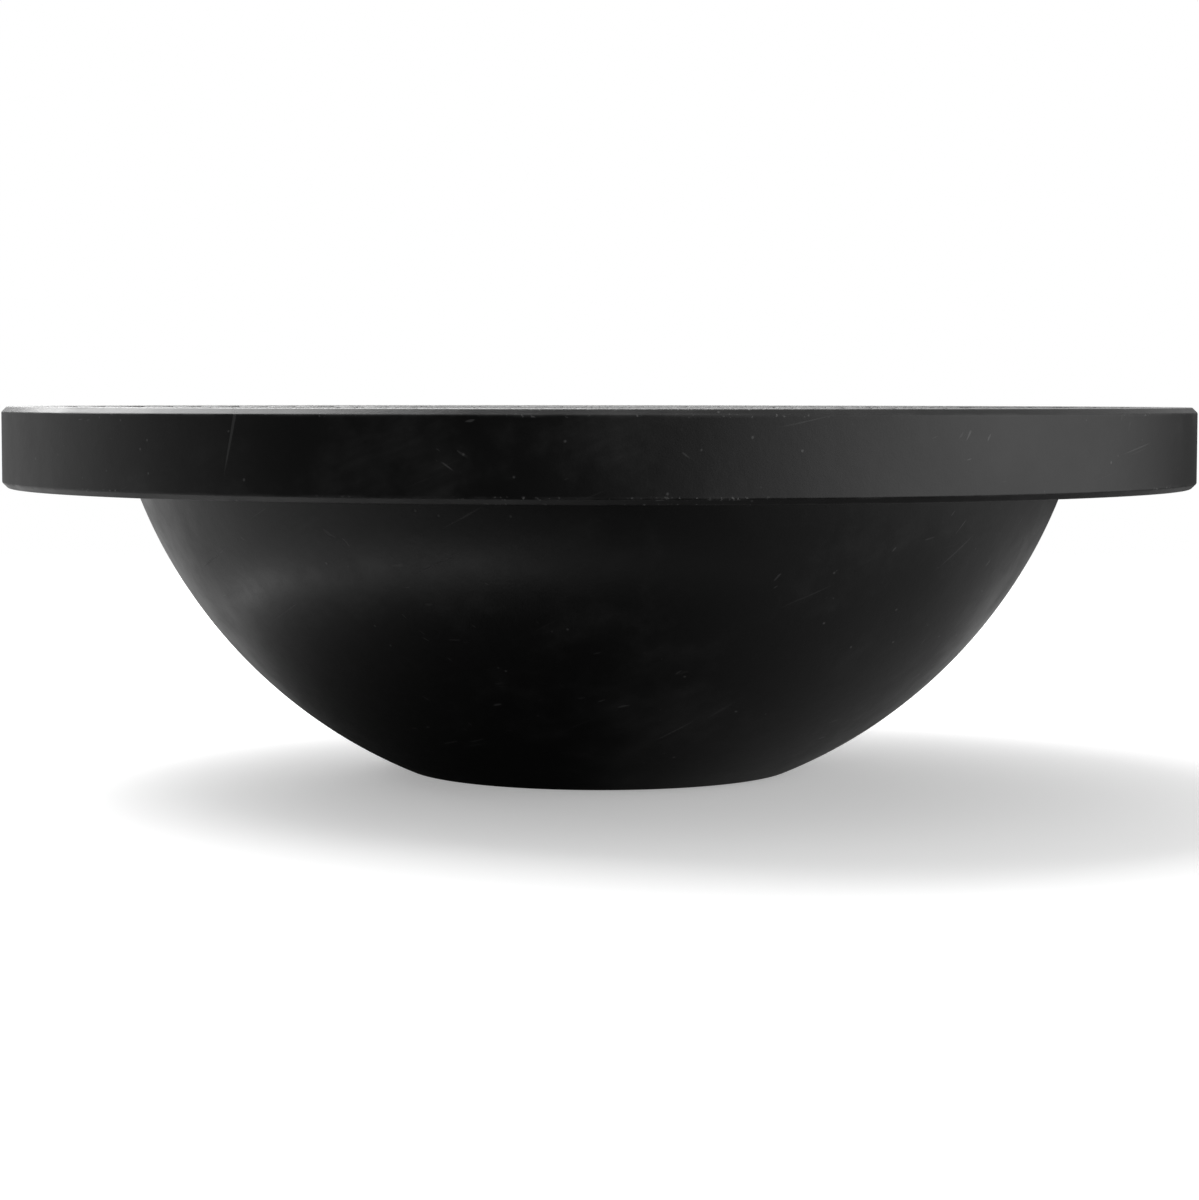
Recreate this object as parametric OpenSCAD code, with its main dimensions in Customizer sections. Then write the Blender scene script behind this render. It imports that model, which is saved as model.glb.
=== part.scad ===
// Balance board: a round ribbed deck screwed to a hollow dome that stands on a flat, rubber-faced foot.
// +Z is up. The origin is the centre of the foot pad's underside, on the floor.

/* [Deck] */
// Outside diameter of the deck
deck_d = 406; // [376:1:490]
// Thickness of the deck
deck_t = 27; // [22:0.5:34]
// Width of the 45 degree bevel on the deck's upper and lower edges
edge_bevel = 1.8; // [0.6:0.1:3]
// Thickness of the deck's skin under the grip mat
deck_skin = 5; // [4:0.1:7]
// Thickness of the deck's skirt, and of the ring that bears on the dome
deck_wall = 4.5; // [4:0.1:7]
// Thickness of the ribs under the deck
deck_rib_t = 2.5; // [2:0.1:4]
// Thickness of the ring plate that closes the deck's overhang
base_t = 3; // [2.5:0.1:5]

/* [Grip mat] */
// Width of bare deck left around the grip mat
bare_rim = 11; // [8:0.5:20]
// Thickness of the rubber grip mat
mat_t = 3; // [2:0.1:4]
// Radial distance from one ring groove of the mat to the next
mat_groove_pitch = 32; // [16:1:48]
// Width of a ring groove in the mat
mat_groove_w = 2.4; // [1:0.1:4]
// Depth of a ring groove in the mat
mat_groove_depth = 1; // [0.4:0.1:1.6]

/* [Dome] */
// Radius of the ball that the dome is cut from
ball_r = 169; // [140:1:203]
// Height of the dome, from its flat to the underside of the deck
dome_h = 98; // [81:1:118]
// Diameter of the flat at the bottom of the dome
flat_d = 132; // [104:1:160]
// Wall of the dome
dome_wall = 5; // [3.5:0.1:7]
// Floor of the dome above the foot pad
dome_floor = 5.2; // [4:0.1:8]
// Thickness of the ribs that run up the inside of the dome
rib_t = 3; // [2:0.1:5]
// Height of those ribs above the wall
rib_h = 8; // [4:0.5:12]

/* [Joint between dome and deck] */
// Width of the dome's outer land, which meets the deck's underside
land_w = 8; // [7:0.5:12]
// Height of the step that centres the dome in the deck's pocket
register_h = 4; // [3:0.1:6]
// Width of the flange inside the dome that the screws pull on, from the step inwards
flange_w = 20; // [18:0.5:30]
// Thickness of that flange, the step included
flange_t = 12; // [10:0.5:16]
// Width of the rim seal
seal_w = 3; // [2:0.1:4]
// Height of the rim seal
seal_t = 2; // [1.5:0.1:3]

/* [Screws] */
// Number of screws round the rim, and of those in the ring plate
screw_count = 8; // [6:1:12]
// Nominal diameter of a rim screw
screw_d = 6; // [5:1:6]
// Distance from the step's edge in to the screw circle
screw_inset = 9; // [8:0.5:10]
// Length of a threaded insert
insert_len = 12; // [10:0.5:14]
// Nominal diameter of a ring plate screw
base_screw_d = 4; // [3:0.5:4]
// Length of a ring plate screw
base_screw_len = 14; // [10:1:16]

/* [Centre tie] */
// Nominal diameter of the centre tie bolt
bolt_d = 10; // [8:2:10]
// Outside diameter of the column between the deck and the dome's hub
column_d = 32; // [26:1:38]
// Wall of that column
column_wall = 4; // [3:0.5:6]
// Diameter of the steel plates at the column's two ends
plate_d = 50; // [44:1:60]
// Thickness of those plates
plate_t = 3; // [2:0.5:4]

/* [Foot pad] */
// Thickness of the rubber foot pad
pad_t = 3; // [2.5:0.1:5]
// Width of bare dome left around the foot pad
pad_margin = 6; // [3:0.5:12]
// How far the foot pad stands out of the dome's flat
pad_proud = 0.5; // [0.3:0.1:1.5]
// Radial distance from one ring groove of the pad to the next
pad_groove_pitch = 10; // [8:1:16]

/* [Fits] */
// Thickness of the adhesive films under the mat and the pad
film_t = 0.3; // [0.1:0.05:0.5]
// Gap around the mat and the pad in their recesses
recess_gap = 0.4; // [0.2:0.05:1]
// Gap around the dome's step and the ring plate in the deck
register_gap = 0.3; // [0.1:0.05:0.6]
// Gap around a screw's shank in the hole that it passes through
hole_gap = 0.3; // [0.2:0.05:0.5]
// Gap between a screw thread and what it is screwed into
thread_gap = 0.05; // [0.03:0.01:0.1]

/* [Hidden] */
$fn = 128;
cut = 1; // how far a cutting shape runs past the surface that it cuts

// Colours
moulded_black = [0.07, 0.07, 0.075];
rubber_black = [0.11, 0.11, 0.115];
zinc = [0.72, 0.73, 0.75];
blackened_steel = [0.2, 0.2, 0.21];
brass = [0.80, 0.64, 0.30];
aluminium = [0.80, 0.81, 0.83];
film_amber = [0.78, 0.66, 0.42];

// Heights above the floor
z_flat = pad_proud;
z_rim = z_flat + dome_h;
z_step = z_rim + register_h;
z_top = z_rim + deck_t;
z_mat_seat = z_top - mat_t - film_t;
z_skin = z_mat_seat - deck_skin;
z_pad_seat = pad_t + film_t;
z_floor_top = z_pad_seat + dome_floor;
z_flange = z_step - flange_t;
z_ball = z_flat + sqrt(pow(ball_r, 2) - pow(flat_d / 2, 2));

// Dome, its step and its flange
rim_r = sqrt(pow(ball_r, 2) - pow(z_ball - z_rim, 2));
step_r = rim_r - land_w;
flange_r = step_r - flange_w;
pad_r = flat_d / 2 - pad_margin - recess_gap;

// Deck, its mat and its ring plate
deck_r = deck_d / 2;
mat_r = deck_r - bare_rim - recess_gap;
skirt_r = deck_r - deck_wall;
pocket_r = step_r + register_gap;
bearing_r = pocket_r + deck_wall;
deck_ribs = 2 * screw_count;
inner_ring_ribs = 3;

// Rim screws and their inserts: the heads are flush in the floor of the mat's recess
screw_circle_r = step_r - screw_inset;
length_step = 5; // rim screws and bolts come in steps of this length
screw_len = length_step * floor((z_mat_seat - z_step + insert_len) / length_step);
screw_pitch = 1;
boss_wall = 4.5;
tower_r = screw_d / 2 + hole_gap + boss_wall;
insert_wall = 1.3;
insert_r = screw_d / 2 + insert_wall;
insert_hole_spare = 2;
insert_boss_r = insert_r + boss_wall;
insert_boss_h = insert_len + insert_hole_spare + 6;

// Screws of the ring plate
base_screw_circle_r = (bearing_r + skirt_r) / 2;
base_screw_pitch = 1.4;
base_boss_r = base_screw_d / 2 + 3;
pilot_spare = 0.5;

// Centre tie: the bolt's head is sunk in the deck, and its nut in the hub of the dome
bolt_hole_r = bolt_d / 2 + 0.5;
bolt_head_af = bolt_d * 1.6;
bolt_head_h = bolt_d * 0.64;
bolt_pitch = 1.5;
bolt_thread_len = 3.2 * bolt_d;
washer_r = bolt_d + 0.5;
washer_t = 2;
nut_h = bolt_d;
wrench_gap = 3;
head_sink = 0.6;
tip_spare = 1;
tie_pocket_r = washer_r + wrench_gap;
hub_wall = 8;
hub_land = 3;
hub_r = max(plate_d / 2, tie_pocket_r + hub_wall) + hub_land;
z_bolt_seat = z_mat_seat - head_sink - bolt_head_h - washer_t;
z_nut_seat = z_pad_seat + tip_spare + length_step + nut_h + washer_t;
z_hub = z_nut_seat + hub_wall;
bolt_len = length_step * floor((z_bolt_seat + washer_t - z_pad_seat - tip_spare) / length_step);

// Adhesive films, small edge breaks and grooves
film_margin = 1;
pad_edge = 0.5;
metal_edge = 0.4;
pad_groove_w = 2;
pad_groove_depth = 0.8;

// A plain disc or hole: a cylinder from one height up to another
module disc(r, z_low, z_high) {
    translate([0, 0, z_low]) cylinder(r = r, h = z_high - z_low);
}

// A ring with a square section
module ring(r_in, r_out, z_low, z_high) {
    difference() {
        disc(r_out, z_low, z_high);
        disc(r_in, z_low - cut, z_high + cut);
    }
}

// A disc whose lower and upper edges are bevelled
module bevelled_disc(r, z_low, z_high, bevel_low, bevel_high) {
    rotate_extrude() polygon([
        [0, z_low],
        [r - bevel_low, z_low],
        [r, z_low + bevel_low],
        [r, z_high - bevel_high],
        [r - bevel_high, z_high],
        [0, z_high]
    ]);
}

// What stands on a circle of radius r, repeated count times, from the angle start onwards
module around(count, r, start = 0) {
    for (i = [0 : count - 1])
        rotate([0, 0, start + 360 * i / count]) translate([r, 0, 0]) children();
}

module at_each_rim_screw() {
    around(screw_count, screw_circle_r) children();
}

module at_each_base_screw() {
    around(screw_count, base_screw_circle_r, 180 / screw_count) children();
}

// Upright radial plates from the axis out to r, each t thick
module radial_plates(count, r, t, z_low, z_high) {
    around(count, 0) translate([0, -t / 2, z_low]) cube([r, t, z_high - z_low]);
}

// The part of the ball of radius r between two heights
module ball_slice(r, z_low, z_high) {
    intersection() {
        translate([0, 0, z_ball]) sphere(r = r);
        disc(ball_r + cut, z_low, z_high);
    }
}

// The concentric grooves of a mat or pad
module ring_grooves(pitch, count, w, z_low, z_high) {
    for (i = [1 : count]) ring(i * pitch - w / 2, i * pitch + w / 2, z_low, z_high);
}

// A rod with its tip down and ring-shaped threads over its lower thread_len
module threaded_rod(d, pitch, thread_len, z_low, z_high) {
    depth = 0.55 * pitch;
    turns = floor(thread_len / pitch);
    crests = [for (i = [0 : turns - 1]) each [
        [d / 2 - depth, z_low + i * pitch],
        [d / 2, z_low + (i + 0.5) * pitch]
    ]];
    thread_top = z_low + turns * pitch;
    rotate_extrude() polygon(concat(
        [[0, z_low]],
        crests,
        [[d / 2 - depth, thread_top], [d / 2, thread_top + depth], [d / 2, z_high], [0, z_high]]
    ));
}

// A hexagon across flats af, with its corners eased by a shallow cone at the top and the bottom
module hexagon(af, z_low, z_high) {
    corner_r = af / 2 / cos(30);
    ease = (corner_r - af / 2) / 2;
    intersection() {
        translate([0, 0, z_low]) cylinder(r = corner_r, h = z_high - z_low, $fn = 6);
        rotate_extrude() polygon([
            [0, z_low],
            [af / 2, z_low],
            [corner_r, z_low + ease],
            [corner_r, z_high - ease],
            [af / 2, z_high],
            [0, z_high]
        ]);
    }
}

// A countersunk screw with a hexagon socket: its head's face is at z = 0, and its tip points down
module countersunk_screw(d, pitch, length) {
    socket_r = d / 3 / cos(30);
    socket_depth = 0.4 * d;
    difference() {
        union() {
            threaded_rod(d, pitch, 0.6 * length, -length, -d / 2);
            translate([0, 0, -d / 2]) cylinder(r1 = d / 2, r2 = d, h = d / 2);
        }
        translate([0, 0, -socket_depth]) cylinder(r = socket_r, h = socket_depth + cut, $fn = 6);
    }
}

// The seat that such a screw's head fills, with the same face at z = 0
module countersink(d) {
    translate([0, 0, -d / 2]) cylinder(r1 = d / 2, r2 = d + cut, h = d / 2 + cut);
}

// The round platform that the user stands on: a skin and a skirt, ribbed underneath
module deck() {
    color(moulded_black) difference() {
        bevelled_disc(deck_r, z_rim, z_top, edge_bevel, edge_bevel);
        disc(mat_r + recess_gap, z_mat_seat, z_top + cut);
        disc(pocket_r, z_rim - cut, z_step);
        ring(bearing_r, skirt_r, z_rim - cut, z_rim + base_t);
        inner_cells();
        outer_cells();
        disc(tie_pocket_r, z_bolt_seat, z_top);
        disc(bolt_hole_r, z_rim, z_top);
        at_each_rim_screw() {
            disc(screw_d / 2 + hole_gap, z_rim, z_top);
            translate([0, 0, z_mat_seat]) countersink(screw_d);
        }
        at_each_base_screw()
            disc(base_screw_d / 2 + thread_gap, z_rim, z_rim + base_screw_len + pilot_spare);
    }
}

// The hollows over the dome: between the deck's hub, ring ribs, radial ribs and screw towers
module inner_cells() {
    ring_step = (pocket_r - hub_r) / (inner_ring_ribs + 1);
    difference() {
        ring(hub_r, pocket_r, z_step - cut, z_skin);
        for (i = [1 : inner_ring_ribs])
            ring(hub_r + i * ring_step - deck_rib_t, hub_r + i * ring_step, z_rim, z_skin + cut);
        radial_plates(deck_ribs, bearing_r, deck_rib_t, z_rim, z_skin + cut);
        at_each_rim_screw() disc(tower_r, z_rim, z_skin + cut);
    }
}

// The hollows over the ring plate, with the bosses that its screws bite in
module outer_cells() {
    z_plate = z_rim + base_t;
    half_rib = deck_rib_t / 2;
    difference() {
        ring(bearing_r, skirt_r, z_plate - cut, z_skin);
        ring(base_screw_circle_r - half_rib, base_screw_circle_r + half_rib, z_plate, z_skin + cut);
        radial_plates(deck_ribs, deck_r, deck_rib_t, z_plate, z_skin + cut);
        at_each_base_screw() disc(base_boss_r, z_plate, z_skin + cut);
    }
}

// The ring plate that closes the overhang, flush with the skirt's lower edge
module deck_base() {
    color(moulded_black) difference() {
        ring(bearing_r + register_gap, skirt_r - register_gap, z_rim, z_rim + base_t);
        at_each_base_screw() {
            disc(base_screw_d / 2 + hole_gap, z_rim - cut, z_rim + base_t + cut);
            translate([0, 0, z_rim]) mirror([0, 0, 1]) countersink(base_screw_d);
        }
    }
}

module base_screws() {
    color(blackened_steel) at_each_base_screw()
        translate([0, 0, z_rim]) mirror([0, 0, 1])
            countersunk_screw(base_screw_d, base_screw_pitch, base_screw_len);
}

// The rubber mat let into the deck, flush with its rim
module grip_mat() {
    grooves = floor((mat_r - mat_groove_pitch / 2) / mat_groove_pitch);
    color(rubber_black) difference() {
        disc(mat_r, z_mat_seat + film_t, z_top);
        ring_grooves(mat_groove_pitch, grooves, mat_groove_w, z_top - mat_groove_depth, z_top + cut);
    }
}

// The film that holds the mat, with a hole over the bolt's pocket
module mat_adhesive() {
    color(film_amber)
        ring(tie_pocket_r + film_margin, mat_r - film_margin, z_mat_seat, z_mat_seat + film_t);
}

// The hollow dome that the board rocks on
module dome() {
    color(moulded_black) difference() {
        union() {
            ball_slice(ball_r, z_flat, z_rim);
            disc(step_r, z_rim - cut, z_step);
        }
        dome_hollow();
        ring(step_r, step_r + seal_w, z_rim - seal_t, z_rim + cut);
        at_each_rim_screw() disc(insert_r, z_step - insert_len - insert_hole_spare, z_step + cut);
        disc(bolt_hole_r, z_flat - cut, z_hub + cut);
        disc(tie_pocket_r, z_flat - cut, z_nut_seat);
        disc(pad_r + recess_gap, z_flat - cut, z_pad_seat);
    }
}

// The hollow inside the dome, around its hub, flange, screw bosses and ribs
module dome_hollow() {
    difference() {
        ball_slice(ball_r - dome_wall, z_floor_top, z_step + cut);
        ring(flange_r, ball_r, z_flange, z_step + 2 * cut);
        disc(hub_r, z_floor_top - cut, z_hub);
        at_each_rim_screw() disc(insert_boss_r, z_step - insert_boss_h, z_step + 2 * cut);
        dome_ribs();
    }
}

// Ribs that run out from the hub over the floor and up the wall, one to each screw boss
module dome_ribs() {
    difference() {
        radial_plates(screw_count, ball_r, rib_t, z_floor_top - cut, z_flange + cut);
        ball_slice(ball_r - dome_wall - rib_h, z_floor_top + rib_h, z_flange + 2 * cut);
    }
}

// The soft ring that keeps sweat out of the joint and stops it creaking
module rim_seal() {
    side_gap = 0.15;
    color(rubber_black) ring(step_r + side_gap, step_r + seal_w - side_gap, z_rim - seal_t, z_rim);
}

// One threaded insert, with two grooves that lock it in its boss
module rim_insert() {
    groove_depth = 0.5;
    groove_h = 1.2;
    difference() {
        disc(insert_r - thread_gap, z_step - insert_len, z_step);
        for (k = [1, 2]) {
            z_groove = z_step - insert_len * k / 3;
            ring(insert_r - groove_depth, insert_r + cut, z_groove - groove_h / 2, z_groove + groove_h / 2);
        }
        disc(screw_d / 2 + thread_gap, z_step - insert_len - cut, z_step + cut);
    }
}

module rim_inserts() {
    color(brass) at_each_rim_screw() rim_insert();
}

module rim_screws() {
    color(blackened_steel) at_each_rim_screw()
        translate([0, 0, z_mat_seat]) countersunk_screw(screw_d, screw_pitch, screw_len);
}

// The column that carries the middle of the deck down to the dome's hub
module centre_column() {
    color(aluminium) difference() {
        bevelled_disc(column_d / 2, z_hub + plate_t, z_step - plate_t, metal_edge, metal_edge);
        disc(column_d / 2 - column_wall, z_hub, z_step);
    }
}

// One steel plate that spreads the column's load, with its underside at z
module load_plate(z) {
    color(zinc) difference() {
        bevelled_disc(plate_d / 2, z, z + plate_t, metal_edge, metal_edge);
        disc(bolt_hole_r, z - cut, z + plate_t + cut);
    }
}

module upper_load_plate() {
    load_plate(z_step - plate_t);
}

module lower_load_plate() {
    load_plate(z_hub);
}

// The bolt that clamps the deck, the column and the dome together
module tie_bolt() {
    z_head = z_bolt_seat + washer_t;
    color(zinc) {
        threaded_rod(bolt_d, bolt_pitch, bolt_thread_len, z_head - bolt_len, z_head + cut);
        hexagon(bolt_head_af, z_head, z_head + bolt_head_h);
    }
}

module tie_washers() {
    color(zinc) {
        ring(bolt_d / 2 + thread_gap, washer_r, z_bolt_seat, z_bolt_seat + washer_t);
        ring(bolt_d / 2 + thread_gap, washer_r, z_nut_seat - washer_t, z_nut_seat);
    }
}

module tie_nut() {
    z_nut = z_nut_seat - washer_t - nut_h;
    color(zinc) difference() {
        hexagon(bolt_head_af, z_nut, z_nut + nut_h);
        disc(bolt_d / 2 + thread_gap, z_nut - cut, z_nut + nut_h + cut);
    }
}

// The film that holds the foot pad, with a hole under the nut's pocket
module pad_adhesive() {
    color(film_amber)
        ring(tie_pocket_r + film_margin, pad_r - film_margin, z_pad_seat - film_t, z_pad_seat);
}

// The rubber pad that the board stands on, with ring grooves underneath
module foot_pad() {
    grooves = floor((pad_r - pad_groove_pitch / 2) / pad_groove_pitch);
    color(rubber_black) difference() {
        bevelled_disc(pad_r, 0, pad_t, pad_edge, 0);
        ring_grooves(pad_groove_pitch, grooves, pad_groove_w, -cut, pad_groove_depth);
    }
}

deck();
deck_base();
base_screws();
grip_mat();
mat_adhesive();
dome();
rim_seal();
rim_inserts();
rim_screws();
centre_column();
upper_load_plate();
lower_load_plate();
tie_bolt();
tie_washers();
tie_nut();
pad_adhesive();
foot_pad();
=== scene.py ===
import math

import bpy
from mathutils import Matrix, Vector


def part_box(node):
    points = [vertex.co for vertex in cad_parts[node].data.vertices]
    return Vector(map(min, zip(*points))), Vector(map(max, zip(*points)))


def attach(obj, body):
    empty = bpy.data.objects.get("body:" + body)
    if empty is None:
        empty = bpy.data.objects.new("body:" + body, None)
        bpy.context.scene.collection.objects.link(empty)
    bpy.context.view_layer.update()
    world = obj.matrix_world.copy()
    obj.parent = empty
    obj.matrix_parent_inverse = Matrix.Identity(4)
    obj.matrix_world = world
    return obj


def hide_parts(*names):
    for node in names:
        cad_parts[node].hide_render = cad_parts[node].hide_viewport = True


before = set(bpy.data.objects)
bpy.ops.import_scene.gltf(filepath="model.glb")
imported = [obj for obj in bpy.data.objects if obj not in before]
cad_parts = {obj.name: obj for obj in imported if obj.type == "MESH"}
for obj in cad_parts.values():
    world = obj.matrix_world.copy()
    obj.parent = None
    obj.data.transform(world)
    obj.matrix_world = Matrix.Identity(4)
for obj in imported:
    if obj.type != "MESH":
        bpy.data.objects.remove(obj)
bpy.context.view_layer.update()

mm = 0.001
fullTurn = 2 * math.pi
turnSteps = 512  # segments round the turned pieces that are seen
ringSteps = 96  # and round the ring ribs inside
padSteps = 256
roundSteps = 4  # segments across a small round
rodSides = 48
weldDistance = 1e-6


# Heights and radii that the pieces share, read from the frame
def lowOf(node):
    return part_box(node)[0].z


def highOf(node):
    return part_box(node)[1].z


def radiusOf(node):
    return max(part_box(node)[1].x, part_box(node)[1].y)


zFlat = lowOf("dome")
zRim = lowOf("deck")
zTop = highOf("deck")
zStep = highOf("dome")
zMatSeat = lowOf("mat_adhesive")
zPadSeat = highOf("pad_adhesive")
zHub = lowOf("lower_load_plate")
washerThickness = 2 * mm
wrenchGap = 3 * mm
zBoltSeat = highOf("tie_washers") - washerThickness
zNutSeat = lowOf("tie_washers") + washerThickness
deckRadius = radiusOf("deck")
matRadius = radiusOf("grip_mat")
padRadius = radiusOf("foot_pad")
boltHoleRadius = 5.5 * mm
tiePocketRadius = radiusOf("tie_washers") + wrenchGap
recessGap = 0.4 * mm
seatRound = 0.3 * mm  # the small round at the mouth of a recess
bite = 0.3 * mm  # how far a rib runs into the wall that it stands on
cutPast = 0.01 * mm  # how far a countersink's cutter passes the face that it cuts


# --- Modelling helpers: everything is put in place by hand-style operators
def deselectAll():
    if bpy.context.mode != "OBJECT":
        bpy.ops.object.mode_set(mode="OBJECT")
    bpy.ops.object.select_all(action="DESELECT")


def pick(piece):
    deselectAll()
    piece.select_set(True)
    bpy.context.view_layer.objects.active = piece


def editMode(piece):
    pick(piece)
    bpy.ops.object.mode_set(mode="EDIT")


def settle(piece):
    # the place goes into the mesh, and the object stays at the origin
    pick(piece)
    bpy.ops.object.transform_apply(location=True, rotation=True, scale=True)


def applyModifier(piece, kind, **settings):
    pick(piece)
    bpy.ops.object.modifier_add(type=kind)
    modifier = piece.modifiers[-1]
    for key, value in settings.items():
        setattr(modifier, key, value)
    bpy.ops.object.modifier_apply(modifier=modifier.name)


def repeatAround(piece, count):
    deselectAll()
    bpy.ops.object.empty_add(location=(0, 0, 0), rotation=(0, 0, fullTurn / count))
    turner = bpy.context.object
    applyModifier(
        piece, "ARRAY", count=count, use_relative_offset=False, use_object_offset=True, offset_object=turner)
    bpy.data.objects.remove(turner)


def startOutline(name, radius, height):
    # a tiny plane is merged into the first point of the outline
    deselectAll()
    bpy.ops.mesh.primitive_plane_add(size=mm, location=(radius, 0, height))
    piece = bpy.context.object
    piece.name = name
    piece.data.name = name
    bpy.ops.object.mode_set(mode="EDIT")
    bpy.ops.mesh.merge(type="CENTER")
    return piece


def drawTo(here, radius, height):
    shift = (radius - here[0], 0, height - here[1])
    bpy.ops.mesh.extrude_region_move(TRANSFORM_OT_translate={"value": shift})
    return radius, height


def drawArc(here, centreHeight, radius, height, steps):
    # from the point here to another on the same ball, which is centred on the axis
    startAngle = math.atan2(here[1] - centreHeight, here[0])
    endAngle = math.atan2(height - centreHeight, radius)
    bpy.ops.mesh.spin(steps=steps, angle=endAngle - startAngle, center=(0, 0, centreHeight), axis=(0, 1, 0))
    return radius, height


def roundCorners(piece, corners, offset):
    # corners of the outline, picked by place, get a small round
    bpy.ops.object.mode_set(mode="OBJECT")
    origin = piece.location
    for vertex in piece.data.vertices:
        place = vertex.co + origin
        vertex.select = any(
            abs(place.x - radius) < weldDistance and abs(place.z - height) < weldDistance
            for radius, height in corners)
    bpy.ops.object.mode_set(mode="EDIT")
    bpy.ops.mesh.bevel(offset=offset, segments=roundSteps, affect="VERTICES")


def faceOutwards(piece):
    # the face furthest from the axis shows which side the recalculated normals took
    furthest = max(piece.data.polygons, key=lambda face: face.center.xy.length)
    if furthest.normal.xy.dot(furthest.center.xy) < 0:
        editMode(piece)
        bpy.ops.mesh.select_all(action="SELECT")
        bpy.ops.mesh.flip_normals()
        bpy.ops.object.mode_set(mode="OBJECT")


def drawOutline(name, outline):
    # outline: (radius, height) points, or (radius, height, ball centre height, steps) at the end of an arc
    piece = startOutline(name, outline[0][0], outline[0][1])
    here = outline[0]
    for point in outline[1:]:
        if len(point) == 4:
            here = drawArc(here, point[2], point[0], point[1], point[3])
        else:
            here = drawTo(here, point[0], point[1])
    return piece


def tidyMesh(piece):
    bpy.ops.mesh.select_all(action="SELECT")
    bpy.ops.mesh.remove_doubles(threshold=weldDistance)
    bpy.ops.mesh.dissolve_degenerate(threshold=weldDistance)
    bpy.ops.mesh.normals_make_consistent(inside=False)
    settle(piece)


def turnPiece(name, outline, rounds=(), steps=turnSteps):
    piece = drawOutline(name, outline)
    for corners, offset in rounds:
        roundCorners(piece, corners, offset)
    bpy.ops.mesh.select_all(action="SELECT")
    bpy.ops.mesh.spin(steps=steps, angle=fullTurn, center=(0, 0, 0), axis=(0, 0, 1))
    tidyMesh(piece)
    faceOutwards(piece)
    smooth(piece)
    return piece


def makePlate(name, outline, thickness):
    # an upright plate over the X axis, from a closed outline
    piece = drawOutline(name, outline)
    bpy.ops.mesh.select_all(action="SELECT")
    bpy.ops.mesh.remove_doubles(threshold=weldDistance)
    bpy.ops.mesh.edge_face_add()
    bpy.ops.mesh.extrude_region_move(TRANSFORM_OT_translate={"value": (0, thickness, 0)})
    piece.location.y -= thickness / 2
    tidyMesh(piece)
    return piece


def makeBar(name, inner, outer, low, high, thickness):
    outline = [(inner, low), (outer, low), (outer, high), (inner, high), (inner, low)]
    return makePlate(name, outline, thickness)


def makeRod(name, fromAxis, radius, low, high, topRadius=None, turn=0.0):
    deselectAll()
    place = (fromAxis * math.cos(turn), fromAxis * math.sin(turn), (low + high) / 2)
    bpy.ops.mesh.primitive_cone_add(
        vertices=rodSides, radius1=radius, radius2=topRadius or radius, depth=high - low, location=place)
    piece = bpy.context.object
    piece.name = name
    settle(piece)
    return piece


def joinPieces(main, others):
    deselectAll()
    for piece in others:
        piece.select_set(True)
    main.select_set(True)
    bpy.context.view_layer.objects.active = main
    bpy.ops.object.join()
    return main


def boreWith(piece, cutter, overlapping=False):
    # overlapping: the piece has members that run into each other
    applyModifier(
        piece, "BOOLEAN", operation="DIFFERENCE", solver="EXACT", object=cutter, use_self=overlapping)
    bpy.data.objects.remove(cutter)


def smooth(piece, angle=35):
    pick(piece)
    bpy.ops.object.shade_smooth_by_angle(angle=math.radians(angle))


def finishPiece(piece, nodes, material):
    piece.data.materials.clear()
    piece.data.materials.append(material)
    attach(piece, "root")
    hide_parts(*nodes)


# --- Shader helpers
class Value:
    # a socket that adds its own Math nodes when it stands in an expression
    def __init__(self, finish, socket):
        self.finish = finish
        self.socket = socket

    def side(self, name):
        return Value(self.finish, self.socket.node.outputs[name])

    def __add__(self, other):
        return self.finish.maths("ADD", self, other)

    __radd__ = __add__

    def __sub__(self, other):
        return self.finish.maths("SUBTRACT", self, other)

    def __rsub__(self, other):
        return self.finish.maths("SUBTRACT", other, self)

    def __mul__(self, other):
        return self.finish.maths("MULTIPLY", self, other)

    __rmul__ = __mul__

    def __pow__(self, other):
        return self.finish.maths("POWER", self, other)

    def __gt__(self, other):
        return self.finish.maths("GREATER_THAN", self, other)


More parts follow.
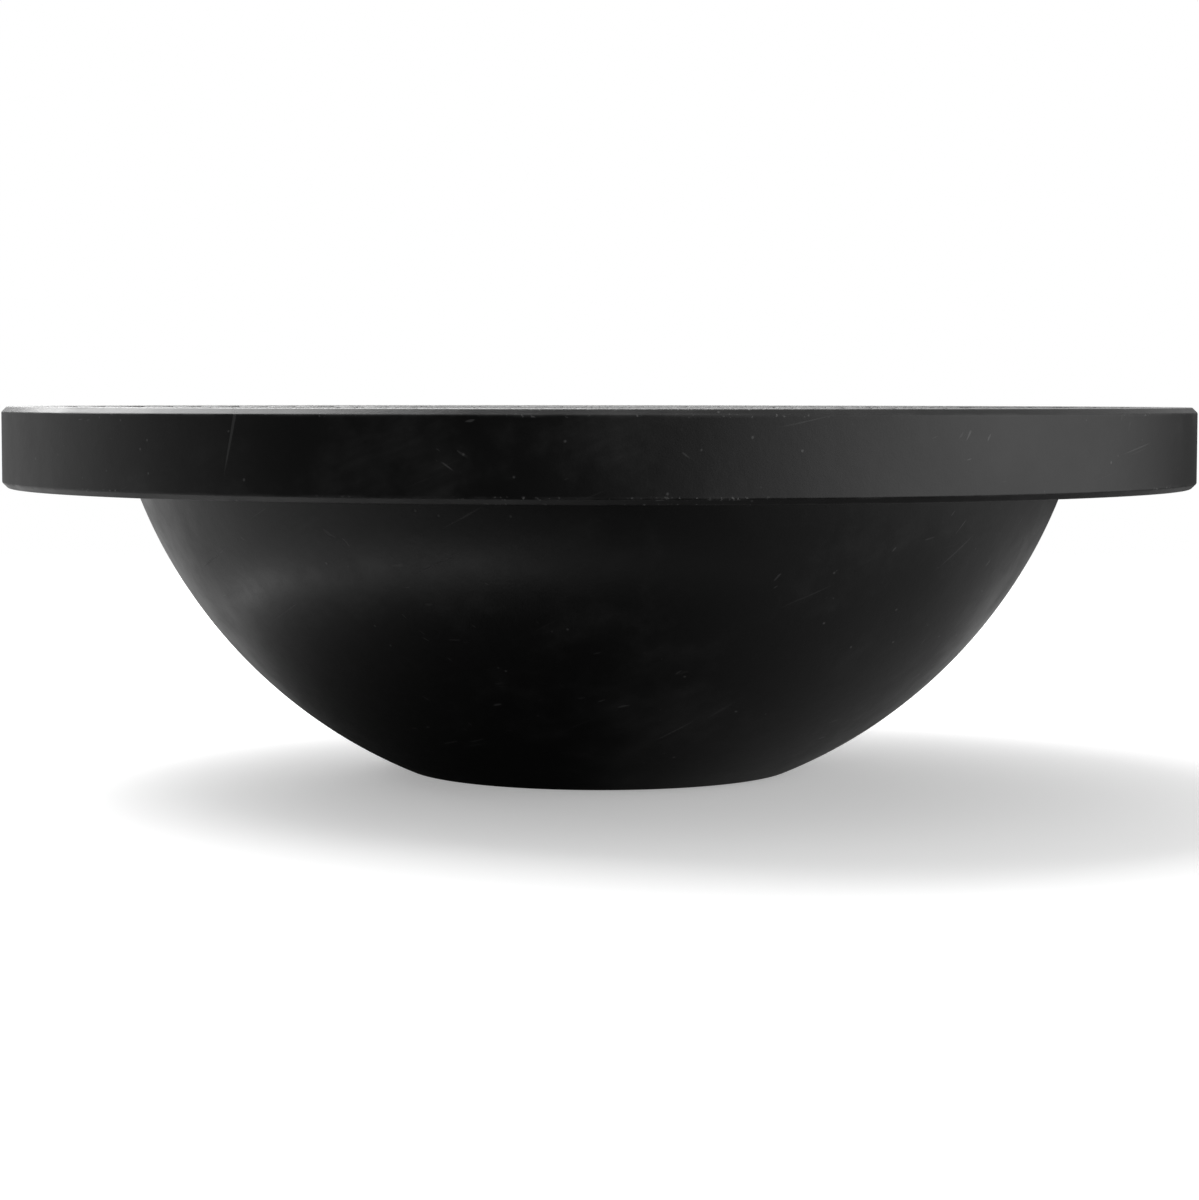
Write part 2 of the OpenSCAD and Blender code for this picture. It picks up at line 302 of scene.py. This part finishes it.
class Finish:
    # the nodes of one material, or of the room's light
    def __init__(self, owner, coordinate="Object"):
        self.owner = owner
        owner.use_nodes = True
        self.tree = owner.node_tree
        self.tree.nodes.clear()
        self.place = self.node("ShaderNodeTexCoord").side(coordinate)

    def node(self, kind, settings=None, sockets=None):
        made = self.tree.nodes.new(kind)
        for key, value in (settings or {}).items():
            setattr(made, key, value)
        for key, value in (sockets or {}).items():
            if isinstance(value, Value):
                self.tree.links.new(value.socket, made.inputs[key])
            else:
                made.inputs[key].default_value = value
        return Value(self, made.outputs[0]) if made.outputs else made

    def maths(self, operation, first, second):
        return self.node("ShaderNodeMath", {"operation": operation}, {0: first, 1: second})

    def moved(self, density, turn=(0, 0, 0)):
        # turned first, then squeezed along its own axes, so a pattern can be long in any direction
        return self.node("ShaderNodeMapping", {"vector_type": "TEXTURE"}, {
            "Vector": self.place, "Rotation": turn, "Scale": tuple(1 / value for value in density)})

    def noise(self, place, scale, detail=2, roughness=0.5, distortion=0):
        return self.node("ShaderNodeTexNoise", None, {
            "Vector": place, "Scale": scale, "Detail": detail, "Roughness": roughness,
            "Distortion": distortion})

    def between(self, value, low, high, start=0, end=1):
        return self.node("ShaderNodeMapRange", {"interpolation_type": "SMOOTHSTEP"}, {
            "Value": value, "From Min": low, "From Max": high, "To Min": start, "To Max": end})

    def blend(self, factor, first, second):
        mixed = self.node("ShaderNodeMix", {"data_type": "RGBA"}, {0: factor, 6: first, 7: second})
        return Value(self, mixed.socket.node.outputs[2])

    def radius(self):
        split = self.node("ShaderNodeSeparateXYZ", None, {0: self.place})
        across, along = split.side("X"), split.side("Y")
        return (across * across + along * along) ** 0.5, split.side("Z")

    def bump(self, height, distance, under=None):
        sockets = {"Height": height, "Distance": distance, "Strength": 1.0}
        if under is not None:
            sockets["Normal"] = under
        return self.node("ShaderNodeBump", None, sockets)

    def surface(self, sockets):
        shader = self.node("ShaderNodeBsdfPrincipled", None, sockets)
        self.node("ShaderNodeOutputMaterial", None, {"Surface": shader})
        return self.owner


def newFinish(name):
    return Finish(bpy.data.materials.new(name))


def grey(shade, warmth=0.0):
    return (shade * (1 + warmth), shade, shade * (1 - warmth), 1)


# --- Moulded plastic of the deck and the dome
plastic = {
    "shade": 0.003,
    "roughness": 0.33,
    "ior": 1.5,
    "hazeShade": 0.045,
    "hazeAmount": 0.38,
    "cloudScale": 26,
    "scratchShade": 0.07,
    "scratchAmount": 0.7,
    "scratchDensity": (560, 14, 14),
    "scratchPatch": 70 * mm,
    "scratchKeep": 0.5,
    "nickShade": 0.13,
    "nickAmount": 0.5,
    "nickDensity": (540, 120, 120),
    "nickTurns": ((0.4, 1.3, 0.1), (-0.3, 0.4, 1.2), (0.2, -0.9, -0.3)),
    "nickPatch": 40 * mm,
    "nickKeep": 0.55,
    "markDepth": 0.012 * mm,
    "dustShade": 0.11,
    "dustAmount": 0.8,
    "dustScale": 420,
    "chipShade": 0.16,
    "chipAmount": 0.9,
    "bareAmount": 0.4,
    "rubbedFrom": 0.2 * mm,
    "rubbedTo": 0.9 * mm,
    "grainSize": 0.55 * mm,
    "grainDepth": 0.02 * mm,
    "rippleSize": 20 * mm,
    "rippleDepth": 0.17 * mm,
}
# how each set of hairlines is turned from upright, in radians
rimScratches = ((0.1, 0.15, 0.3), (0.3, 1.2, -0.2), (-0.2, 1.35, 0.4))
domeScratches = ((0.1, 1.3, 0.1), (0.5, 1.1, -0.25), (-0.4, 0.9, 0.4))


def lineMarks(finish, density, turns, patchSize, keep):
    # thin marks along a few directions, each set broken up by a coarse mask of its own
    marks = 0
    for number, turn in enumerate(turns):
        lines = finish.noise(finish.moved(density, turn=turn), 1.0, detail=1, distortion=0.3)
        patches = finish.noise(finish.moved((1 / patchSize,) * 3, turn=(number, 1.0, turn[1])), 1.0, detail=1)
        marks = finish.between(lines, 0.735, 0.775) * finish.between(patches, keep, keep + 0.12) + marks
    return marks


def dustSpecks(finish):
    # round specks in some cells of a fine pattern, more of them in some places
    cells = finish.node("ShaderNodeTexVoronoi", {"feature": "F1"}, {
        "Vector": finish.place, "Scale": plastic["dustScale"]})
    crowd = finish.between(finish.noise(finish.place, 12, detail=2), 0.45, 0.7, 0.992, 0.965)
    chosen = finish.node("ShaderNodeSeparateColor", None, {0: cells.side("Color")}).side("Red") > crowd
    return (1 - finish.between(cells.side("Distance"), 0.08, 0.26)) * chosen


def nearEdges(finish, edges):
    fromAxis, height = finish.radius()
    near = 0
    for edgeRadius, edgeHeight in edges:
        outward = fromAxis - edgeRadius
        upward = height - edgeHeight
        distance = (outward * outward + upward * upward) ** 0.5
        near = (1 - finish.between(distance, plastic["rubbedFrom"], plastic["rubbedTo"])) + near
    return near


def mouldedPlastic(name, edges=(), scratchTurns=rimScratches):
    # edges: (radius, height) of the rings where the plastic is rubbed and chipped
    finish = newFinish(name)
    grain = finish.noise(finish.place, 1 / plastic["grainSize"], detail=2)
    cloud = finish.noise(finish.place, plastic["cloudScale"], detail=5, roughness=0.65)
    ripple = finish.noise(finish.place, 1 / plastic["rippleSize"], detail=4, roughness=0.6)
    scratches = lineMarks(
        finish, plastic["scratchDensity"], scratchTurns, plastic["scratchPatch"], plastic["scratchKeep"])
    nicks = lineMarks(
        finish, plastic["nickDensity"], plastic["nickTurns"], plastic["nickPatch"], plastic["nickKeep"])
    specks = dustSpecks(finish)

    # a thin haze of handling, rubbed in fine streaks
    streaks = finish.noise(finish.moved((420, 70, 70), turn=scratchTurns[1]), 1.0, detail=3)
    haze = finish.between(cloud, 0.46, 0.7) * finish.between(streaks, 0.3, 0.7, 0.45, 1)

    colour = finish.blend(haze * plastic["hazeAmount"], grey(plastic["shade"]), grey(plastic["hazeShade"]))
    colour = finish.blend(scratches * plastic["scratchAmount"], colour, grey(plastic["scratchShade"]))
    colour = finish.blend(nicks * plastic["nickAmount"], colour, grey(plastic["nickShade"]))
    colour = finish.blend(specks * plastic["dustAmount"], colour, grey(plastic["dustShade"]))
    roughness = finish.between(cloud, 0.3, 0.7, plastic["roughness"] - 0.05, plastic["roughness"] + 0.06)
    roughness = roughness + haze * 0.05 + scratches * 0.1
    if edges:
        near = nearEdges(finish, edges)
        bare = near * finish.between(finish.noise(finish.place, 70, detail=4, roughness=0.65), 0.4, 0.62)
        chips = near * finish.between(finish.noise(finish.place, 750, detail=2), 0.6, 0.68)
        chips = chips * finish.between(finish.noise(finish.place, 16, detail=1), 0.45, 0.6)
        colour = finish.blend(bare * plastic["bareAmount"], colour, grey(plastic["hazeShade"]))
        colour = finish.blend(chips * plastic["chipAmount"], colour, grey(plastic["chipShade"]))
        roughness = roughness + bare * 0.08
    fine = finish.bump(grain, plastic["grainDepth"])
    uneven = finish.bump(ripple, plastic["rippleDepth"], under=fine)
    cut = finish.bump(0 - scratches - nicks, plastic["markDepth"], under=uneven)
    return finish.surface({
        "Base Color": colour, "Roughness": roughness, "Normal": cut, "IOR": plastic["ior"]})


# --- Rubber of the mat, the pad and the seal
rubber = {
    "shade": 0.028,
    "dust": 0.085,
    "dustAmount": 0.35,
    "worn": 0.045,
    "wornAmount": 0.3,
    "wornDepth": 1.0 * mm,
    "roughness": 0.55,
    "grainScale": 2600,
    "grainDepth": 0.02 * mm,
}


def mouldedRubber(name, wornHeight=None):
    # wornHeight: the tops near this height are rubbed a little paler
    finish = newFinish(name)
    grain = finish.noise(finish.place, rubber["grainScale"], detail=3)
    cloud = finish.noise(finish.place, 14, detail=4, roughness=0.6)
    dusty = finish.between(cloud, 0.45, 0.75) * rubber["dustAmount"]
    colour = finish.blend(dusty, grey(rubber["shade"]), grey(rubber["dust"], 0.03))
    roughness = finish.between(cloud, 0.3, 0.7, rubber["roughness"], rubber["roughness"] + 0.14)
    if wornHeight is not None:
        height = finish.radius()[1]
        near = finish.between(height, wornHeight - rubber["wornDepth"], wornHeight)
        patchy = finish.between(finish.noise(finish.place, 9, detail=3), 0.4, 0.65)
        colour = finish.blend(near * patchy * rubber["wornAmount"], colour, grey(rubber["worn"], 0.02))
        roughness = roughness - near * patchy * 0.1
    return finish.surface({
        "Base Color": colour, "Roughness": roughness, "Normal": finish.bump(grain, rubber["grainDepth"])})


# --- Metals and the film, on parts that are inside or under the board
metal = {"lines": (200, 200, 12), "lineDepth": 0.01 * mm, "blotchScale": 90, "blotchAmount": 0.5}
film = {"pale": (0.62, 0.5, 0.3, 1), "deep": (0.5, 0.38, 0.2, 1), "fibreDepth": 0.01 * mm}


def drawnMetal(name, shade, roughness, warmth=0.0):
    finish = newFinish(name)
    lines = finish.noise(finish.moved(metal["lines"]), 1.0, detail=4)
    blotch = finish.between(finish.noise(finish.place, metal["blotchScale"], detail=3), 0.35, 0.7)
    colour = finish.blend(blotch * metal["blotchAmount"], grey(shade, warmth), grey(shade * 0.7, warmth))
    rough = finish.between(lines, 0.3, 0.7, roughness - 0.06, roughness + 0.1)
    return finish.surface({
        "Base Color": colour, "Metallic": 1.0, "Roughness": rough,
        "Normal": finish.bump(lines, metal["lineDepth"])})


def adhesiveFilm():
    finish = newFinish("adhesiveFilm")
    fibres = finish.noise(finish.moved((300, 40, 300)), 1.0, detail=4, distortion=1.2)
    colour = finish.blend(fibres, film["pale"], film["deep"])
    return finish.surface({
        "Base Color": colour, "Roughness": finish.between(fibres, 0.2, 0.8, 0.45, 0.7),
        "Normal": finish.bump(fibres, film["fibreDepth"])})


# --- The deck: a turned body with a recess for the mat and bevels at both edges
deck = {
    "bevel": 1.8 * mm,
    "edgeRound": 0.3 * mm,
    "wall": 4.5 * mm,
    "skin": 5 * mm,
    "land": 8 * mm,
    "gap": 0.3 * mm,
    "hubRadius": 28 * mm,
    "rib": 2.5 * mm,
    "ribCount": 16,
    "ringRibs": 3,
}
# the two rings of screws, and what is bored and raised for them: widths are radii
screws = {
    "count": 8,
    "circle": radiusOf("rim_screws") - 6 * mm,
    "hole": 3.3 * mm,
    "sink": 6.1 * mm,
    "tower": 7.8 * mm,
    "insert": 4.3 * mm,
    "insertHole": 14 * mm,
    "insertBoss": 8.8 * mm,
    "insertBossHeight": 20 * mm,
    "insertBossDrop": 0.5 * mm,
    "baseCircle": 177.1 * mm,
    "boss": 5 * mm,
    "pilot": 2.05 * mm,
    "pilotHeight": 14.5 * mm,
}
dome = {
    "ballRadius": 169 * mm,
    "flatRadius": 66 * mm,
    "flatRound": 0.8 * mm,
    "wall": 5 * mm,
    "floor": 5.2 * mm,
    "sealWidth": 3 * mm,
    "sealDepth": 2 * mm,
    "flangeWidth": 20 * mm,
    "flangeHeight": 12 * mm,
    "rib": 3 * mm,
    "ribHeight": 8 * mm,
    "ballSteps": 96,
    "insideSteps": 32,
}
ballHeight = zFlat + math.sqrt(dome["ballRadius"] ** 2 - dome["flatRadius"] ** 2)
rimRadius = math.sqrt(dome["ballRadius"] ** 2 - (ballHeight - zRim) ** 2)
stepRadius = rimRadius - deck["land"]
pocketRadius = stepRadius + deck["gap"]
bearingRadius = pocketRadius + deck["wall"]


def makeDeck():
    bevel = deck["bevel"]
    recess = matRadius + recessGap
    skirt = deckRadius - deck["wall"]
    underSkin = zMatSeat - deck["skin"]
    outline = [
        (tiePocketRadius, zMatSeat), (recess, zMatSeat), (recess, zTop),
        (deckRadius - bevel, zTop), (deckRadius, zTop - bevel),
        (deckRadius, zRim + bevel), (deckRadius - bevel, zRim),
        (skirt, zRim), (skirt, underSkin), (bearingRadius, underSkin), (bearingRadius, zRim),
        (pocketRadius, zRim), (pocketRadius, underSkin), (deck["hubRadius"], underSkin),
        (deck["hubRadius"], zStep), (boltHoleRadius, zStep), (boltHoleRadius, zBoltSeat),
        (tiePocketRadius, zBoltSeat), (tiePocketRadius, zMatSeat),
    ]
    edges = outline[3:7]
    inside = [outline[2], outline[7]]
    piece = turnPiece("deckBody", outline, [(edges, deck["edgeRound"]), (inside, seatRound)])
    # the rim screws' holes and countersinks, in the recess under the mat
    zSink = zMatSeat - (screws["sink"] - screws["hole"])
    for low, topRadius in ((underSkin - mm, screws["hole"]), (zSink, screws["sink"])):
        cutter = makeRod("cutter", screws["circle"], screws["hole"], low, zMatSeat + cutPast, topRadius)
        repeatAround(cutter, screws["count"])
        boreWith(piece, cutter)
    smooth(piece)
    material = mouldedPlastic("deckPlastic", edges)
    finishPiece(piece, ["deck"], material)
    print("deck shell made")

    # ribs, ring ribs, screw towers and bosses under the skin, as one moulding
    zPlate = highOf("deck_base")
    zRibTop = underSkin + bite
    thick = deck["rib"]
    halfPitch = math.pi / screws["count"]
    inner = makeBar("rib", deck["hubRadius"] - bite, pocketRadius + bite, zStep, zRibTop, thick)
    outer = makeBar("rib", bearingRadius - bite, skirt + bite, zPlate, zRibTop, thick)
    tower = makeRod("tower", screws["circle"], screws["tower"], zStep, zRibTop)
    boss = makeRod("boss", screws["baseCircle"], screws["boss"], zPlate, zRibTop, turn=halfPitch)
    for rib in (inner, outer):
        repeatAround(rib, deck["ribCount"])
    for member in (tower, boss):
        repeatAround(member, screws["count"])
    ringPitch = (pocketRadius - deck["hubRadius"]) / (deck["ringRibs"] + 1)
    ringPlaces = [
        (deck["hubRadius"] + number * ringPitch, zStep) for number in range(1, deck["ringRibs"] + 1)]
    ringPlaces.append((screws["baseCircle"] + thick / 2, zPlate))
    rings = []
    for outside, low in ringPlaces:
        within = outside - thick
        rings.append(turnPiece("ringRib", [
            (within, low), (outside, low), (outside, zRibTop), (within, zRibTop), (within, low)],
            steps=ringSteps))
    ribs = joinPieces(inner, [outer, tower, boss] + rings)
    ribs.name = "deckRibs"
    ribs.data.name = "deckRibs"
    holes = makeRod("holes", screws["circle"], screws["hole"], zRim, zTop)
    zPilotEnd = lowOf("base_screws") + screws["pilotHeight"]
    pilots = makeRod("pilots", screws["baseCircle"], screws["pilot"], zRim, zPilotEnd, turn=halfPitch)
    repeatAround(holes, screws["count"])
    repeatAround(pilots, screws["count"])
    boreWith(ribs, joinPieces(holes, [pilots]), overlapping=True)
    smooth(ribs)
    finishPiece(ribs, ["deck"], material)


# --- The dome: a turned shell, ball outside, with flange, hub and the seats of pad and seal
def makeDome():
    inner = dome["ballRadius"] - dome["wall"]
    zFloor = zPadSeat + dome["floor"]
    zFlange = zStep - dome["flangeHeight"]
    sealRadius = stepRadius + dome["sealWidth"]
    flangeRadius = stepRadius - dome["flangeWidth"]
    zSeal = zRim - dome["sealDepth"]
    innerRim = math.sqrt(inner ** 2 - (ballHeight - zFlange) ** 2)
    innerFloor = math.sqrt(inner ** 2 - (ballHeight - zFloor) ** 2)
    padRecess = padRadius + recessGap
    outline = [
        (boltHoleRadius, zNutSeat), (tiePocketRadius, zNutSeat), (tiePocketRadius, zPadSeat),
        (padRecess, zPadSeat), (padRecess, zFlat), (dome["flatRadius"], zFlat),
        (rimRadius, zRim, ballHeight, dome["ballSteps"]), (sealRadius, zRim), (sealRadius, zSeal),
        (stepRadius, zSeal), (stepRadius, zStep), (flangeRadius, zStep), (flangeRadius, zFlange),
        (innerRim, zFlange), (innerFloor, zFloor, ballHeight, dome["insideSteps"]),
        (deck["hubRadius"], zFloor), (deck["hubRadius"], zHub), (boltHoleRadius, zHub),
        (boltHoleRadius, zNutSeat),
    ]
    piece = turnPiece("domeShell", outline, [([outline[5]], dome["flatRound"]), ([outline[4]], seatRound)])
    material = mouldedPlastic("domePlastic", scratchTurns=domeScratches)
    cutter = makeRod("cutter", screws["circle"], screws["insert"], zStep - screws["insertHole"], zStep + mm)
    repeatAround(cutter, screws["count"])
    boreWith(piece, cutter)
    smooth(piece)
    finishPiece(piece, ["dome"], material)
    print("dome shell made")

    # a rib from the hub over the floor and up the wall to each boss of the inserts
    outerBall, innerBall = inner + bite, inner - dome["ribHeight"]
    zLow, zRibFloor, zHigh = zFloor - bite, zFloor + dome["ribHeight"], zFlange + bite

    def onBall(ballRadius, height):
        return math.sqrt(ballRadius ** 2 - (ballHeight - height) ** 2), height

    ribStart = deck["hubRadius"] - bite
    ribs = makePlate("domeRibs", [
        (ribStart, zLow), onBall(outerBall, zLow),
        (*onBall(outerBall, zHigh), ballHeight, dome["insideSteps"]),
        onBall(innerBall, zHigh), (*onBall(innerBall, zRibFloor), ballHeight, dome["insideSteps"]),
        (ribStart, zRibFloor), (ribStart, zLow)], dome["rib"])
    zBoss = zStep - screws["insertBossHeight"]
    zBossTop = zStep - screws["insertBossDrop"]
    bosses = makeRod("boss", screws["circle"], screws["insertBoss"], zBoss, zBossTop)
    holes = makeRod("holes", screws["circle"], screws["insert"], zStep - screws["insertHole"], zStep + mm)
    for member in (ribs, bosses, holes):
        repeatAround(member, screws["count"])
    joinPieces(ribs, [bosses])
    boreWith(ribs, holes, overlapping=True)
    smooth(ribs)
    finishPiece(ribs, ["dome"], material)


# --- The grip mat: ring grooves, and low studs whose tops are flush with the deck's rim
mat = {
    "studHeight": 0.5 * mm,
    "studRadius": 2.4 * mm,
    "studPitch": 9.5 * mm,
    "studSides": 14,
    "studRound": 0.4 * mm,
    "studSunk": 0.4 * mm,
    "grooveDepth": 1.2 * mm,
    "groovePitch": 32 * mm,
    "grooveWidth": 2.4 * mm,
    "border": 3.0 * mm,
    "edgeRound": 0.4 * mm,
}


def makeMat():
    zUnder = lowOf("grip_mat")
    zField = zTop - mat["studHeight"]
    zGroove = zTop - mat["grooveDepth"]
    field = matRadius - mat["border"]
    outline = [(0, zUnder), (matRadius, zUnder), (matRadius, zTop), (field, zTop), (field, zField)]
    grooves = int((matRadius - mat["groovePitch"] / 2) / mat["groovePitch"])
    for ring in range(grooves, 0, -1):
        outer = ring * mat["groovePitch"] + mat["grooveWidth"] / 2
        inner = ring * mat["groovePitch"] - mat["grooveWidth"] / 2
        outline += [(outer, zField), (outer, zGroove), (inner, zGroove), (inner, zField)]
    outline.append((0, zField))
    piece = turnPiece("gripMat", outline, [([outline[2], outline[3]], mat["edgeRound"])])
    print("mat body turned")

    # one stud, then rows of it round the axis
    depth = mat["studHeight"] + mat["studSunk"]
    deselectAll()
    bpy.ops.mesh.primitive_cylinder_add(
        vertices=mat["studSides"], radius=mat["studRadius"], depth=depth, end_fill_type="NGON")
    stud = bpy.context.object
    stud.name = "stud"
    stud.location.z = zTop - depth / 2
    settle(stud)
    editMode(stud)
    bpy.ops.mesh.select_all(action="DESELECT")
    bpy.ops.object.mode_set(mode="OBJECT")
    for face in stud.data.polygons:
        face.select = face.normal.z > 0.5
    bpy.ops.object.mode_set(mode="EDIT")
    bpy.ops.mesh.bevel(offset=mat["studRound"], segments=2, affect="EDGES")
    bpy.ops.object.mode_set(mode="OBJECT")
    rows = []
    for band in range(grooves + 1):
        for place in (-1, 0, 1):
            fromAxis = (band + 0.5) * mat["groovePitch"] + place * mat["studPitch"]
            count = round(fullTurn * fromAxis / mat["studPitch"])
            row = stud.copy()
            row.data = stud.data.copy()
            bpy.context.collection.objects.link(row)
            row.location.x = fromAxis
            settle(row)
            repeatAround(row, count)
            rows.append(row)
    bpy.data.objects.remove(stud)
    joinPieces(piece, rows)
    smooth(piece)
    finishPiece(piece, ["grip_mat"], mouldedRubber("matRubber", wornHeight=zTop))


# --- The foot pad: a thin disc with ring grooves underneath
pad = {"groovePitch": 10 * mm, "grooveWidth": 2 * mm, "grooveDepth": 0.8 * mm, "edge": 0.5 * mm}


def makePad():
    zLow, zHigh = lowOf("foot_pad"), highOf("foot_pad")
    zGroove = zLow + pad["grooveDepth"]
    edge = pad["edge"]
    outline = [(0, zHigh), (padRadius, zHigh), (padRadius, zLow + edge), (padRadius - edge, zLow)]
    grooves = int((padRadius - pad["groovePitch"] / 2) / pad["groovePitch"])
    for ring in range(grooves, 0, -1):
        outer = ring * pad["groovePitch"] + pad["grooveWidth"] / 2
        inner = outer - pad["grooveWidth"]
        outline += [(outer, zLow), (outer, zGroove), (inner, zGroove), (inner, zLow)]
    outline.append((0, zLow))
    piece = turnPiece("footPad", outline, steps=padSteps)
    finishPiece(piece, ["foot_pad"], mouldedRubber("padRubber", wornHeight=zLow - mm))


makeDeck()
print("deck made")
makeDome()
print("dome made")
makeMat()
print("mat made")
makePad()
print("foot pad made")

# --- CAD nodes that keep their shape and get their finish
blackSteel = drawnMetal("blackenedSteel", 0.05, 0.38)
zincSteel = drawnMetal("zincSteel", 0.6, 0.32)
nodeFinishes = {
    "deck_base": mouldedPlastic("basePlastic"),
    "base_screws": blackSteel,
    "rim_screws": blackSteel,
    "rim_inserts": drawnMetal("turnedBrass", 0.6, 0.28, warmth=0.28),
    "rim_seal": mouldedRubber("sealRubber"),
    "mat_adhesive": adhesiveFilm(),
    "centre_column": drawnMetal("columnAluminium", 0.72, 0.34),
    "upper_load_plate": zincSteel,
    "lower_load_plate": zincSteel,
    "tie_bolt": zincSteel,
    "tie_washers": zincSteel,
    "tie_nut": zincSteel,
}
nodeFinishes["pad_adhesive"] = nodeFinishes["mat_adhesive"]
for nodeName, material in nodeFinishes.items():
    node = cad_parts[nodeName]
    node.data.materials.clear()
    node.data.materials.append(material)
print("finishes set on the carried-over nodes")

# --- Stage: a pale floor that fades into the white of the room, and a darker one for the reflections
papers = {
    "floor": {"height": 0, "fadeCentre": (0, 0, 0), "fade": (0.6, 1.5), "shade": 0.85, "glow": 0.35},
    "floorTone": {
        "height": -1 * mm, "fadeCentre": (-0.35, 0.35, 0), "fade": (0.35, 0.9), "shade": 0.32, "glow": 1.0},
}
floorRadius = 1.6
# a ring of the darker paper glows under the front left of the rim, to lighten its lower bevel
card = {"inner": 0.188, "outer": 0.206, "soft": 0.012, "left": -0.15, "right": 0.2, "back": 0.05}
# the darker paper also glows a little on the right, and is painted darker close under the dome as a painted
# contact shadow
paperTone = {
    "sideStart": -0.02, "sideEnd": 0.16, "sideGlow": 0.3, "paintedShadowShade": 0.08, "under": 0.06, "open": 0.2}


def makeFloor(name, height, fadeCentre, fade, shade, glow):
    deselectAll()
    bpy.ops.mesh.primitive_circle_add(
        vertices=96, radius=floorRadius, fill_type="NGON", location=(0, 0, height))
    floor = bpy.context.object
    floor.name = name
    finish = newFinish(name + "Paper")
    apart = finish.node("ShaderNodeVectorMath", {"operation": "DISTANCE"}, {0: finish.place, 1: fadeCentre})
    seen = finish.between(apart.side("Value"), fade[0], fade[1], 1, 0)
    paper = finish.noise(finish.place, 60, detail=3)
    colour = finish.blend(paper, grey(shade), grey(shade * 0.98))
    glowColour = grey(1.0)
    if name == "floorTone":
        split = finish.node("ShaderNodeSeparateXYZ", None, {0: finish.place})
        fromAxis = finish.radius()[0]
        ring = finish.between(fromAxis, card["inner"], card["inner"] + card["soft"])
        ring = ring * finish.between(fromAxis, card["outer"], card["outer"] + card["soft"], 1, 0)
        ring = ring * finish.between(split.side("X"), card["left"], card["right"], 1, 0)
        ring = ring * finish.between(split.side("Y"), 0, card["back"], 1, 0)
        seen = finish.maths("MAXIMUM", seen, ring)
        side = finish.between(split.side("X"), paperTone["sideStart"], paperTone["sideEnd"])
        glowColour = finish.blend(side, grey(0.0), grey(paperTone["sideGlow"]))
        glowColour = finish.blend(ring, glowColour, grey(1.0))
        # painted contact shadow: the darker paper's colour is darkened close under the dome, fading out by
        # the open radius
        under = finish.between(fromAxis, paperTone["under"], paperTone["open"], 1, 0)
        colour = finish.blend(under, colour, grey(paperTone["paintedShadowShade"]))
    floor.data.materials.append(finish.surface({
        "Base Color": colour, "Roughness": 0.9, "Alpha": seen, "Specular IOR Level": 0.0,
        "Emission Color": glowColour, "Emission Strength": glow}))
    floor.visible_diffuse = False
    floor.visible_shadow = False
    return floor


def towards(azimuth, height):
    # a direction: azimuth from the camera's side, positive to the right, and height over the horizon
    turn, rise = math.radians(azimuth), math.radians(height)
    return Vector((math.sin(turn) * math.cos(rise), -math.cos(turn) * math.cos(rise), math.sin(rise)))


lights = {
    "keyLeftBack": {"azimuth": -138, "height": 46, "distance": 2.0, "size": (2.2, 2.0), "radiance": 3.8},
}
aim = Vector((0, 0, (zRim + zTop) / 2))


def addLight(name, azimuth, height, distance, size, radiance):
    direction = towards(azimuth, height)
    deselectAll()
    bpy.ops.object.light_add(type="AREA", location=aim + direction * distance)
    lamp = bpy.context.object
    lamp.name = name
    lamp.rotation_euler = direction.to_track_quat("Z", "Y").to_euler()
    lamp.data.shape = "RECTANGLE"
    lamp.data.size, lamp.data.size_y = size
    lamp.data.energy = 4 * radiance * size[0] * size[1]


# The room: white to the camera, and soft glows in a dim grey round the board
room = {"seen": 1.0, "dim": 0.05, "lowFrom": -0.6, "lowTo": -0.12, "lowLight": 0.25}
glows = {
    "right": {"azimuth": 72, "height": 8, "radiance": 1.72, "tightness": 3.2},
    "leftBack": {"azimuth": -118, "height": 0, "radiance": 0.36, "tightness": 3.8},
    "overhead": {"azimuth": 0, "height": 90, "radiance": 0.48, "tightness": 2.0},
    "back": {"azimuth": 180, "height": 34, "radiance": 3.5, "tightness": 16.0},
}


def makeRoom():
    world = bpy.data.worlds.new("room")
    bpy.context.scene.world = world
    finish = Finish(world, "Generated")
    light = room["dim"]
    for glow in glows.values():
        facing = finish.node("ShaderNodeVectorMath", {"operation": "DOT_PRODUCT"}, {
            0: finish.place, 1: towards(glow["azimuth"], glow["height"])})
        lit = finish.maths("MAXIMUM", facing.side("Value"), 0.0) ** glow["tightness"]
        light = lit * glow["radiance"] + light
    # less light comes from well below the board, where the bench would be
    height = finish.node("ShaderNodeSeparateXYZ", None, {0: finish.place}).side("Z")
    light = finish.between(height, room["lowFrom"], room["lowTo"], room["lowLight"], 1) * light
    dim = finish.node("ShaderNodeBackground", None, {"Color": (1, 1, 1, 1), "Strength": light})
    seen = finish.node("ShaderNodeBackground", None, {"Color": (1, 1, 1, 1), "Strength": room["seen"]})
    toCamera = finish.node("ShaderNodeLightPath").side("Is Camera Ray")
    mixed = finish.node("ShaderNodeMixShader", None, {0: toCamera, 1: dim, 2: seen})
    finish.node("ShaderNodeOutputWorld", None, {"Surface": mixed})


# the pale paper is what one sees, and its darker tone is what the black gloss mirrors
makeFloor("floor", **papers["floor"]).visible_glossy = False
makeFloor("floorTone", **papers["floorTone"]).visible_camera = False
for lightName, light in lights.items():
    addLight(lightName, **light)
makeRoom()
print("stage and lights set")

# Camera: a little above the deck, looking slightly down on it
camera = {"distance": 1.035, "aboveTop": 3.0 * mm, "pitch": 3.873, "roll": -0.06, "lens": 89.55, "sensor": 36}
deselectAll()
bpy.ops.object.camera_add(
    location=(0, -camera["distance"], zTop + camera["aboveTop"]),
    rotation=(math.radians(90 - camera["pitch"]), math.radians(camera["roll"]), 0))
eye = bpy.context.object
eye.data.lens = camera["lens"]
eye.data.sensor_width = camera["sensor"]
bpy.context.scene.camera = eye
bpy.context.scene.view_settings.view_transform = "Standard"
print("camera set")
